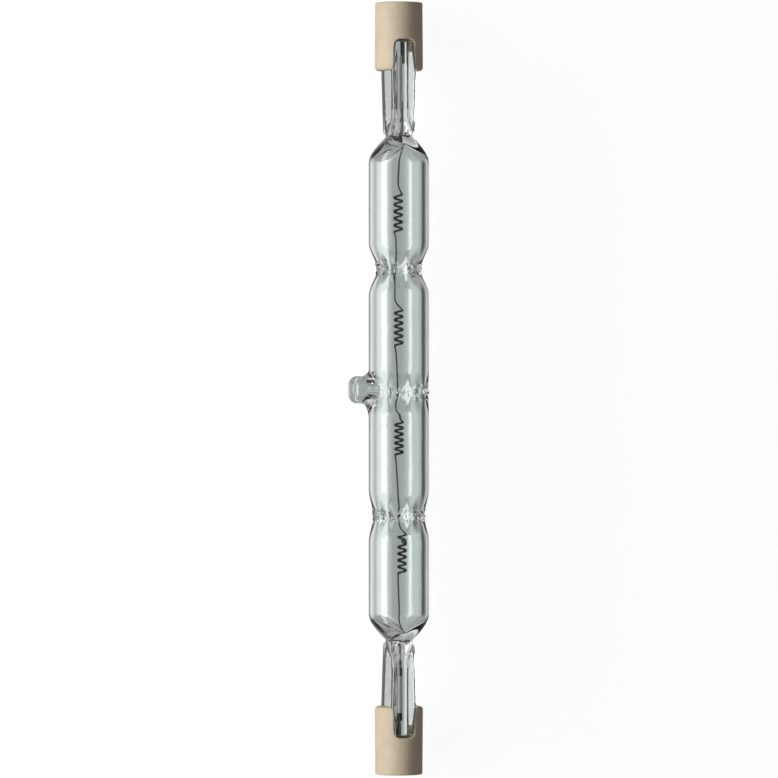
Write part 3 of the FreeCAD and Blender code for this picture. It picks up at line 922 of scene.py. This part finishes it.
def filament_lines():
    """Centre lines of the four coils and of the five legs, in the upright lamp."""
    sizes = lamp()
    wire, lead = sizes.filament, sizes.lead
    reach = (wire.coil_diameter - wire.winding) / 2
    _, thickness = web_directions()
    offset = lead.foil_thickness / 2 + lead.inner_diameter / 2 - lead.sunk
    stub_end = neck_height() - sizes.seal.cavity_end - lead.inner_stub
    points = [thickness * offset + (0, 0, stub_end)]
    coils, legs = [], []
    for index, (top, drop, shift) in enumerate(zip(COIL_TOPS, COIL_LENGTHS, COIL_OFFSETS)):
        first = top * MM - wire.winding / 2
        last = (top - drop) * MM + wire.winding / 2
        points += [(across * MM, 0, height * MM) for across, height in LEG_BENDS[index]]
        points.append((LEG_ENDS[index][1] * MM, 0, first + LEG_RISE * wire.lead_in))
        points.append((shift * MM + reach, 0, first))
        legs.append(np.array(points))
        count = round(wire.turns * COIL_STEPS)
        coil = []
        for step in range(count + 1):
            share = step / count
            angle = -FULL_TURN * wire.turns * share
            sway = 1 + SWAY * noise.noise((index * 7.0, share * wire.turns * SWAY_RATE, 0.5))
            coil.append((shift * MM + reach * sway * math.cos(angle),
                         reach * sway * math.sin(angle), blend(first, last, share)))
        coils.append(np.array(coil))
        points = [(shift * MM - reach, 0, last),
                  (LEG_ENDS[index + 1][0] * MM, 0, last - wire.lead_in)]
    points += [(across * MM, 0, height * MM) for across, height in LEG_BENDS[-1]]
    legs.append(np.array(points + [tuple(turned_over([thickness * offset + (0, 0, stub_end)])[0])]))
    return coils, legs


BEND_SHARE, BEND_REACH = 0.35, 0.6 * MM


def softened(line, steps=6):
    """A line of straight runs with its corners drawn round, as a bent wire has them."""
    line = np.asarray(line, dtype=float)
    result = [line[0]]
    for before, corner, after in zip(line, line[1:], line[2:]):
        reach = min(BEND_SHARE * np.linalg.norm(corner - before),
                    BEND_SHARE * np.linalg.norm(after - corner),
                    BEND_REACH)
        start = corner + (before - corner) / np.linalg.norm(before - corner) * reach
        finish = corner + (after - corner) / np.linalg.norm(after - corner) * reach
        for step in range(steps + 1):
            t = step / steps
            result.append(start * (1 - t) ** 2 + corner * 2 * t * (1 - t) + finish * t * t)
    return np.array(result + [line[-1]])


LEG_STEP, LEG_SIDES = 0.3 * MM, 12


class LAMP_OT_filament(bpy.types.Operator):
    """Wind the filament: four coils of fine winding, joined by straight legs"""
    bl_idname = "lamp.filament"
    bl_label = "Filament"

    def execute(self, context):
        sizes = lamp().filament
        coils, legs = filament_lines()
        tree = coiled_wire()
        material = grained_material("tungsten")
        coil_path = path_object("coil_path", [laid_down(coil) for coil in coils])
        winding = baked(coil_path, tree, {
            "Winding Radius": (sizes.winding - sizes.wire) / 2, "Pitch": sizes.winding_pitch,
            "Wire Radius": sizes.wire / 2, "Steps": float(sizes.winding_steps),
            "Sides": sizes.wire_sides, "Material": material,
        })
        leg_path = path_object("leg_path", [laid_down(softened(leg)) for leg in legs])
        straight = baked(leg_path, tree, {
            "Winding Radius": 0.0, "Pitch": LEG_STEP, "Wire Radius": sizes.leg / 2,
            "Steps": 1.0, "Sides": LEG_SIDES, "Material": material,
        })
        wire = joined("filament_wire", [winding, straight])
        make_piece("filament_wire", wire, "filament", "tungsten")
        return {"FINISHED"}


def foil_ends():
    """Heights of the inner and outer end of a foil."""
    lead = lamp().lead
    return neck_height() + lead.foil_start, lamp().seal.end - lead.foil_margin


LEAD_STEPS, LEAD_SIDES = 24, 24
LEAD_END = 0.7            # rounding of a lead's ends, as a share of its radius


def lead_mesh(name, diameter, low, high, welded_low, welded_high, end):
    """Round lead with rounded ends, pressed flat where it is welded to the foil."""
    lead = lamp().lead
    radius = diameter / 2
    profile = [(0, low)] + rounded((radius, low), (0, low), (radius, high), radius * LEAD_END)[1:]
    count = LEAD_STEPS
    for step in range(1, count):
        height = blend(low, high, step / count)
        if low + radius < height < high - radius:
            profile.append((radius, height))
    profile += rounded((radius, high), (radius, low), (0, high), radius * LEAD_END)[:-1] + [(0, high)]
    points, faces = lathe(profile, LEAD_SIDES)
    width, thickness = web_directions()
    offset = lead.foil_thickness / 2 + radius - lead.sunk
    placed = []
    for x, y, z in points:
        across = y
        if welded_low <= z <= welded_high:
            across = max(across, lead.foil_thickness / 2 - offset)
        placed.append(width * x + thickness * (across + offset) + np.array((0, 0, z)))
    return closed_mesh(name, laid_down(at_end(placed, end)), faces)


class LAMP_OT_leads(bpy.types.Operator):
    """Make the inner and outer leads of both seals"""
    bl_idname = "lamp.leads"
    bl_label = "Leads"

    def execute(self, context):
        lead, seal = lamp().lead, lamp().seal
        foil_low, foil_high = foil_ends()
        inner_low = neck_height() - seal.cavity_end - lead.inner_stub
        inner_weld = (foil_low, foil_low + lead.overlap)
        outer_weld = (foil_high - lead.overlap, foil_high)
        for end in ENDS:
            for kind, diameter, low, high, weld in (
                ("inner", lead.inner_diameter, inner_low, inner_weld[1], inner_weld),
                ("outer", lead.outer_diameter, outer_weld[0], lead.outer_end, outer_weld),
            ):
                mesh = lead_mesh("lead", diameter, low, high, *weld, end)
                make_piece(kind + "_lead_wire_" + end, mesh, kind + "_lead_" + end, "molybdenum")
        return {"FINISHED"}


FOIL_ROWS, FOIL_COLUMNS = 60, 24
FOIL_EDGE = 0.25          # thickness at the edges, as a share of that in the middle


class LAMP_OT_foils(bpy.types.Operator):
    """Make the two foils, thin towards their edges"""
    bl_idname = "lamp.foils"
    bl_label = "Foils"

    def execute(self, context):
        lead = lamp().lead
        low, high = foil_ends()
        rows, columns = FOIL_ROWS, FOIL_COLUMNS
        width, thickness = web_directions()
        for end in ENDS:
            points, faces = [], []
            for side in (1, -1):
                for row in range(rows + 1):
                    for column in range(columns + 1):
                        share = 2 * column / columns - 1
                        height = blend(low, high, row / rows)
                        full = FOIL_EDGE + (1 - FOIL_EDGE) * (1 - share ** 4)
                        half = lead.foil_thickness / 2 * full
                        points.append(width * (share * lead.foil_width / 2)
                                      + thickness * side * half + np.array((0, 0, height)))
            layer = (rows + 1) * (columns + 1)
            for side in (0, 1):
                for row in range(rows):
                    for column in range(columns):
                        start = side * layer + row * (columns + 1) + column
                        faces.append((start, start + 1, start + columns + 2, start + columns + 1))
            rim = list(range(columns))
            rim += [row * (columns + 1) + columns for row in range(rows)]
            rim += [rows * (columns + 1) + column for column in range(columns, 0, -1)]
            rim += [row * (columns + 1) for row in range(rows, 0, -1)]
            for first, second in zip(rim, rim[1:] + rim[:1]):
                faces.append((first, second, second + layer, first + layer))
            mesh = closed_mesh("foil", laid_down(at_end(points, end)), faces)
            make_piece("seal_foil_strip_" + end, mesh, "seal_foil_" + end, "molybdenum")
        return {"FINISHED"}


def corner_values(mesh, name):
    values = np.empty(len(mesh.vertices) * 3)
    mesh.vertices.foreach_get(name, values)
    return values.reshape(-1, 3)


GRAINS, BROAD_GRAINS, BROAD_SHARE = 5200, 0.23, 0.6


def grained(mesh, depth, seed):
    """Sink a mesh's surface a little wherever a fine and a broad noise say so."""
    places = corner_values(mesh, "co")
    normals = corner_values(mesh, "normal")
    for index, place in enumerate(places):
        spot = Vector(place) * GRAINS + Vector((seed, 0, 0))
        lift = noise.noise(spot) + BROAD_SHARE * noise.noise(spot * BROAD_GRAINS)
        places[index] -= normals[index] * depth * max(0.0, lift)
    mesh.vertices.foreach_set("co", places.ravel())
    mesh.update()


def pressed(name, body, cutters, voxel, smooth, grain, seed):
    """Cut a solid, mesh it in even cells with softened edges, and give it a fine grain."""
    helper = placed(name, body)
    tools = [placed(name, cutter) for cutter in cutters]
    for tool in tools:
        cut = helper.modifiers.new("cut", "BOOLEAN")
        cut.object = tool
        cut.solver = "EXACT"
    cells = helper.modifiers.new("cells", "REMESH")
    cells.mode = "VOXEL"
    cells.voxel_size = voxel
    soft = helper.modifiers.new("soft", "SMOOTH")
    soft.factor = 0.5
    soft.iterations = smooth
    evaluated = helper.evaluated_get(bpy.context.evaluated_depsgraph_get())
    mesh = bpy.data.meshes.new_from_object(evaluated)
    for item in [helper, *tools]:
        data = item.data
        bpy.data.objects.remove(item)
        bpy.data.meshes.remove(data)
    mesh.name = name
    grained(mesh, grain, seed)
    return mesh


BEYOND = 1 * MM            # how far a cutter goes past the surface
SLOT_HALF_REACH = 6 * MM
SLOT_ROUNDING = 1.1 * MM


def slot_prism(end):
    """Tapered slot with a rounded floor."""
    cap = lamp().cap
    mouth = lamp().tube.lamp_length / 2 - cap.reach
    floor = mouth + cap.slot_depth
    half_mouth, half_floor = cap.slot_mouth / 2, cap.slot_floor / 2
    flare = (half_mouth - half_floor) / cap.slot_depth * BEYOND
    outline = [(-half_mouth - flare, mouth - BEYOND)]
    outline += rounded((-half_floor, floor), (-half_mouth, mouth), (0, floor), SLOT_ROUNDING, 8)
    outline += rounded((half_floor, floor), (0, floor), (half_mouth, mouth), SLOT_ROUNDING, 8)
    outline.append((half_mouth + flare, mouth - BEYOND))
    width, thickness = web_directions()
    count = len(outline)
    points = []
    for reach in (-SLOT_HALF_REACH, SLOT_HALF_REACH):
        points += [width * reach + thickness * v + np.array((0, 0, z)) for v, z in outline]
    faces = [tuple(range(count)), tuple(range(2 * count - 1, count - 1, -1))]
    for index in range(count):
        beside = (index + 1) % count
        faces.append((index, beside, count + beside, count + index))
    return closed_mesh("slot", laid_down(at_end(points, end)), faces)


ROUND_COLUMNS = 120
CAP_SEEDS = {"upper": 3.0, "lower": 11.0}


class LAMP_OT_ceramic_caps(bpy.types.Operator):
    """Press the two slotted caps, with softened edges and a fine grain"""
    bl_idname = "lamp.ceramic_caps"
    bl_label = "Ceramic caps"

    def execute(self, context):
        sizes = lamp()
        cap = sizes.cap
        rim = sizes.tube.lamp_length / 2
        mouth = rim - cap.reach
        mouth_radius, end_radius = cap.mouth_diameter / 2, cap.end_diameter / 2
        body = [(0, mouth)]
        body += rounded((mouth_radius, mouth), (0, mouth), (end_radius, rim), cap.mouth_bevel)
        body += rounded((end_radius, rim), (mouth_radius, mouth), (0, rim), cap.rim_bevel)
        body.append((0, rim))
        recess, flared = cap.recess / 2, cap.recess / 2 + cap.recess_bevel
        lead, shank = cap.lead_bore / 2, cap.shank_bore / 2
        pocket = cap.contact_diameter / 2 + cap.contact_gap
        face = rim - cap.contact_face
        seat = face - cap.contact_thickness
        floor = sizes.seal.end - BEYOND
        hollow = [(0, floor), (lead, floor), (lead, cap.shank_end), (shank, cap.shank_end),
                  (shank, seat), (pocket, seat), (pocket, face), (recess, face),
                  (recess, rim - cap.recess_bevel), (flared, rim), (flared, rim + BEYOND),
                  (0, rim + BEYOND)]
        for end in ENDS:
            solid = revolved("body", body, ROUND_COLUMNS, end)
            cutters = [revolved("hollow", hollow, ROUND_COLUMNS, end), slot_prism(end)]
            mesh = pressed("cap", solid, cutters, cap.voxel, 3, cap.grain,
                           CAP_SEEDS[end])
            make_piece("steatite_cap_" + end, mesh, "ceramic_cap_" + end, "steatite")
        return {"FINISHED"}


def node_copy(node):
    """Merged copy of a CAD node's mesh, in its place."""
    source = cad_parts[node]
    work = bmesh.new()
    work.from_mesh(source.data)
    bmesh.ops.transform(work, matrix=source.matrix_world, verts=work.verts)
    bmesh.ops.remove_doubles(work, verts=work.verts, dist=0.001 * MM)
    mesh = bpy.data.meshes.new(node + "_copy")
    work.to_mesh(mesh)
    work.free()
    return mesh


CEMENT_CLEARED = 8 * MM
CEMENT_VOXEL, CEMENT_GRAIN, CEMENT_SEED = 0.06 * MM, 0.05 * MM, 5.0


class LAMP_OT_cement(bpy.types.Operator):
    """Make the rough fillings of cement in the slots"""
    bl_idname = "lamp.cement"
    bl_label = "Cement"

    def execute(self, context):
        cap = lamp().cap
        low = cap.cement_face - CEMENT_CLEARED
        clear = [(0, low), (cap.reach, low), (cap.reach, cap.cement_face), (0, cap.cement_face)]
        for end in ENDS:
            mesh = pressed("cement", node_copy("cap_cement_" + end),
                           [revolved("clear", clear, 48, end)], CEMENT_VOXEL, 2, CEMENT_GRAIN,
                           CEMENT_SEED)
            make_piece("cement_filling_" + end, mesh, "cap_cement_" + end, "cement")
        return {"FINISHED"}


# Pressed face of a contact: places from its edge inwards, its ring and its middle dip, as shares
# of the radius, and how deep both are
CONTACT_PLACES = (0.8, 0.76, 0.72, 0.4, 0.3, 0.2, 0.1)
CONTACT_RING, RING_DEPTH = (0.73, 0.78), 0.03 * MM
DIP_SHARE, DIP_DEPTH = 0.36, 0.09 * MM


class LAMP_OT_contacts(bpy.types.Operator):
    """Turn the two nickel contacts"""
    bl_idname = "lamp.contacts"
    bl_label = "Contacts"

    def execute(self, context):
        sizes = lamp()
        cap = sizes.cap
        face = sizes.tube.lamp_length / 2 - cap.contact_face
        seat = face - cap.contact_thickness
        radius, shank = cap.contact_diameter / 2, cap.shank / 2
        profile = [(0, cap.shank_end)]
        profile += rounded((shank, cap.shank_end), (0, cap.shank_end), (shank, seat), 0.12 * MM)
        profile += [(shank, seat)]
        profile += rounded((radius, seat), (shank, seat), (radius, face), 0.06 * MM, 3)
        profile += rounded((radius, face), (radius, seat), (0, face), 0.14 * MM)
        for share in CONTACT_PLACES:
            ringed = CONTACT_RING[0] < share < CONTACT_RING[1]
            dip = RING_DEPTH if ringed else DIP_DEPTH * float(ease(1 - share / DIP_SHARE))
            profile.append((radius * share, face - dip))
        profile.append((0, face - DIP_DEPTH))
        for end in ENDS:
            mesh = revolved("contact", profile, ROUND_COLUMNS, end)
            make_piece("contact_button_" + end, mesh, "contact_" + end, "nickel")
        return {"FINISHED"}


CAMERA_DISTANCE = 0.9
FRAME_WIDTH = 0.1186
SENSOR_WIDTH = 36.0
AIM = (-1.5, 0.0, -0.08)
FLOOR_GLOW = 0.91
FLOOR_SHADE = 0.28
FLOOR_HALF = 0.45
PANEL_RAISE = 0.02
# Name, angle in degrees, width, height, distance, radiance and tint of each panel of light
SOFTBOXES = (("key", -61, 0.11, 0.50, 0.34, 6.8, (1.0, 0.99, 0.975)),
             ("soft", -48, 0.25, 0.50, 0.42, 1.3, (1.0, 1.0, 1.0)),
             ("fill", 46, 0.22, 0.50, 0.50, 0.4, (1.0, 1.0, 1.0)))


def view_directions():
    """Right, up and towards the camera, in the scene."""
    place = resting_place().to_3x3()
    return place @ Vector((1, 0, 0)), place @ Vector((0, 0, 1)), place @ Vector((0, -1, 0))


def facing(target, place, up):
    """Turn an object's -Z at a target with its Y upwards."""
    back = (place - target).normalized()
    right = up.cross(back).normalized()
    up = back.cross(right)
    turned = Matrix((right, up, back)).transposed().to_4x4()
    return Matrix.Translation(place) @ turned


def softbox(name, degrees, width, tall, distance, radiance, tint):
    """Panel of light at an angle from the line of sight, to the right where positive."""
    right, up, towards = view_directions()
    angle = math.radians(degrees)
    target = Vector(laid_down([(0, 0, 0)])[0])
    place = target + (towards * math.cos(angle) + right * math.sin(angle)) * distance
    light = bpy.data.lights.new(name, "AREA")
    light.shape = "RECTANGLE"
    light.size, light.size_y = width, tall
    light.energy = radiance * math.pi * width * tall
    light.color = tint
    placed(name, light).matrix_world = facing(target, place + up * PANEL_RAISE, up)


# How bright the room is round the lamp, by the angle in degrees to the right of the line of sight
SURROUNDINGS = ((-180, 0.12), (-100, 0.12), (-66, 0.22), (-56, 0.42), (-27, 0.78), (-19, 0.95),
                (-8, 0.95), (-5, 0.55), (-3.5, 0.43), (0, 0.38), (2.2, 0.45), (5, 0.48), (8, 0.62),
                (12, 0.64), (19, 0.48), (26, 0.36), (33, 0.22), (40, 0.07), (62, 0.07), (75, 0.12),
                (180, 0.12))
ENDWAYS = 0.36               # the same along the lamp
ROOM_SHADE = 0.12            # the same as light on the lamp
ROOM_GLOSS = 0.22            # the same where the lamp's surfaces mirror it


LEAN = (0.12, 0.4)           # where the tones along the lamp take over, as a sine


def room_tone(nodes):
    """Tone of the room in the direction of a ray."""
    right, up, towards = view_directions()
    place = nodes.add("ShaderNodeTexCoord").outputs["Generated"]
    side, ahead, along = (nodes.vector("DOT_PRODUCT", place, way) for way in (right, -towards, up))
    share = nodes.add("ShaderNodeMapRange", {"Value": nodes.math("ARCTAN2", side, ahead),
                                             "From Min": -math.pi, "From Max": math.pi})
    shade = nodes.add("ShaderNodeValToRGB", {"Fac": share.outputs[0]})
    stops = shade.color_ramp.elements
    for index, (degrees, level) in enumerate(SURROUNDINGS):
        stop = stops[index] if index < 2 else stops.new(1.0)
        stop.position = (degrees + 180) / 360
        stop.color = (level, level, level, 1)
    fade = nodes.add("ShaderNodeMapRange", {"Value": nodes.math("ABSOLUTE", along),
                                            "From Min": LEAN[0], "From Max": LEAN[1]})
    return nodes.add("ShaderNodeMix", {0: fade.outputs[0], 2: shade.outputs["Color"], 3: ENDWAYS})


def studio_world():
    """The room: dim as light, white to the camera, and in its own tones through the glass."""
    world = bpy.data.worlds.new("Studio")
    world.use_nodes = True
    nodes = NodeTree(world.node_tree)
    shader = world.node_tree.nodes["Background"]
    ray = nodes.add("ShaderNodeLightPath").outputs
    level = nodes.add("ShaderNodeMix", {0: ray["Is Glossy Ray"], 2: ROOM_SHADE, 3: ROOM_GLOSS})
    level = nodes.add("ShaderNodeMix", {0: ray["Is Transmission Ray"], 2: level.outputs[0],
                                        3: room_tone(nodes).outputs[0]})
    level = nodes.add("ShaderNodeMix", {0: ray["Is Camera Ray"], 2: level.outputs[0], 3: 1.0})
    nodes.link(level.outputs[0], shader.inputs["Strength"])
    shader.inputs["Color"].default_value = (1, 1, 1, 1)
    bpy.context.scene.world = world


def floor_material():
    """Pale floor that keeps the lamp's shadow, shows white and leaves the room to the glass."""
    material = bpy.data.materials.new("Pale floor")
    material.use_nodes = True
    nodes = NodeTree(material.node_tree)
    material.node_tree.nodes.remove(material.node_tree.nodes["Principled BSDF"])
    output = material.node_tree.nodes["Material Output"]
    ray = nodes.add("ShaderNodeLightPath").outputs
    glow = nodes.math("MULTIPLY", ray["Is Camera Ray"], FLOOR_GLOW)
    tone = nodes.add("ShaderNodeMix", {0: ray["Is Camera Ray"], 6: opaque(lamp().finish.floor),
                                       7: opaque((FLOOR_SHADE,) * 3)}, data_type="RGBA")
    paint = nodes.add("ShaderNodeBsdfDiffuse", {"Color": tone.outputs[2]})
    light = nodes.add("ShaderNodeEmission", {"Color": (1, 1, 1, 1), "Strength": glow})
    both = nodes.add("ShaderNodeAddShader", {0: paint.outputs[0], 1: light.outputs[0]})
    clear = nodes.add("ShaderNodeBsdfTransparent")
    through = nodes.math("MAXIMUM", ray["Is Glossy Ray"], ray["Is Transmission Ray"])
    choice = nodes.add("ShaderNodeMixShader", {0: through, 1: both.outputs[0],
                                               2: clear.outputs[0]})
    nodes.link(choice.outputs[0], output.inputs["Surface"])
    return material


class LAMP_OT_stage(bpy.types.Operator):
    """Set up the floor, the lights and the camera"""
    bl_idname = "lamp.stage"
    bl_label = "Stage"

    def execute(self, context):
        scene = context.scene
        half = FLOOR_HALF
        mesh = bpy.data.meshes.new("studio_floor")
        mesh.from_pydata([(-half, -half, 0), (half, -half, 0), (half, half, 0), (-half, half, 0)],
                         [], [(0, 1, 2, 3)])
        mesh.materials.append(floor_material())
        floor = placed("studio_floor", mesh)
        studio_world()
        for panel in SOFTBOXES:
            softbox(*panel)
        right, up, towards = view_directions()
        target = Vector(laid_down([[value * MM for value in AIM]])[0])
        lens = bpy.data.cameras.new("camera")
        lens.sensor_width = SENSOR_WIDTH
        lens.lens = SENSOR_WIDTH * CAMERA_DISTANCE / FRAME_WIDTH
        lens.clip_start = 0.01
        camera = placed("camera", lens)
        camera.matrix_world = facing(target, target + towards * CAMERA_DISTANCE, up)
        scene.camera = camera
        scene.view_settings.view_transform = "Standard"
        return {"FINISHED"}


class LAMP_PT_panel(bpy.types.Panel):
    """Buttons for each piece of the lamp"""
    bl_idname = "LAMP_PT_panel"
    bl_label = "Linear halogen lamp"
    bl_space_type = "VIEW_3D"
    bl_region_type = "UI"
    bl_category = "Lamp"

    def draw(self, context):
        for operator in OPERATORS:
            self.layout.operator(operator.bl_idname)
        for group in ("tube", "waist", "seal", "filament", "lead", "cap", "finish"):
            box = self.layout.box()
            box.label(text=group.capitalize())
            owner = getattr(context.scene.lamp, group)
            for name in owner.__annotations__:
                box.prop(owner, name, text=name.replace("_", " ").capitalize())


GROUPS = (TubeSizes, WaistSizes, SealSizes, FilamentSizes, LeadSizes, CapSizes, Finishes,
          LampProperties)
OPERATORS = (LAMP_OT_quartz_envelope, LAMP_OT_filament, LAMP_OT_leads, LAMP_OT_foils,
             LAMP_OT_ceramic_caps, LAMP_OT_cement, LAMP_OT_contacts, LAMP_OT_stage)


def register():
    for group in (*GROUPS, *OPERATORS, LAMP_PT_panel):
        bpy.utils.register_class(group)
    bpy.types.Scene.lamp = PointerProperty(type=LampProperties)


def unregister():
    del bpy.types.Scene.lamp
    for group in reversed((*GROUPS, *OPERATORS, LAMP_PT_panel)):
        bpy.utils.unregister_class(group)


def main():
    register()
    bpy.ops.lamp.quartz_envelope()
    bpy.ops.lamp.filament()
    bpy.ops.lamp.leads()
    bpy.ops.lamp.foils()
    bpy.ops.lamp.ceramic_caps()
    bpy.ops.lamp.cement()
    bpy.ops.lamp.contacts()
    bpy.ops.lamp.stage()


if __name__ == "__main__":
    main()
